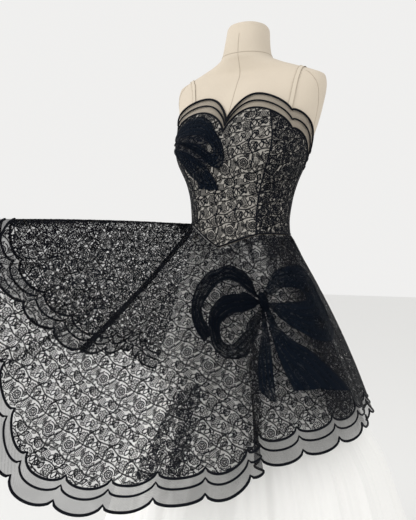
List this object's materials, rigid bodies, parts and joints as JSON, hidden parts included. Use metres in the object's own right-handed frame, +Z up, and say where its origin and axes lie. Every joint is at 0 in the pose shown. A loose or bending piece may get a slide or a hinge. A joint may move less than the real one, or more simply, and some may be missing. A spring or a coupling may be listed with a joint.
{
  "type": "ball gown on dress form",
  "caption": "Strapless ball gown of black scalloped lace with net bows over a full white net underskirt, on a limbless dress form that holds it upright.",
  "frame": {"origin": "centre of the stand's underside, on the floor", "axes": "+Z up along the pole; the gown faces -Y; +X is the wearer's left"},
  "size_m": [0.9783, 1.1225, 1.534],
  "materials": {
    "form_linen": "plain woven linen, cream",
    "stand_iron": "satin black",
    "black_lace": "black lace; over a taupe ground on the bodice",
    "black_net": "sheer black net with corded edges",
    "ivory_satin": "satin ribbon, ivory",
    "white_tulle": "soft white net, sheer"
  },
  "bodies": {
    "root": {"form_body": "form_linen", "stand_base": "stand_iron", "stand_pole": "stand_iron", "bodice_back_left": "black_lace", "bodice_back_placket": "black_lace", "bodice_back_right": "black_lace", "bodice_front": "black_lace", "bodice_side_left": "black_lace", "bodice_side_right": "black_lace", "overskirt_back_left": "black_lace", "overskirt_back_right": "black_lace", "overskirt_front": "black_lace", "bodice_bow_back_loop": "black_net", "bodice_bow_front_loop": "black_net", "bodice_bow_front_tail": "black_net", "bodice_bow_knot": "black_net", "hem_border_back_left": "black_net", "hem_border_back_right": "black_net", "hem_border_front": "black_net", "neckline_border": "black_net", "overskirt_seam_strip": "black_net", "skirt_bow_knot": "black_net", "skirt_bow_left_side_loop": "black_net", "skirt_bow_lower_loop": "black_net", "skirt_bow_narrow_tail": "black_net", "skirt_bow_upper_loop": "black_net", "skirt_bow_wide_tail": "black_net", "strap_left": "ivory_satin", "strap_right": "ivory_satin", "underskirt_back": "white_tulle", "underskirt_front": "white_tulle"}
  },
  "joints": []
}
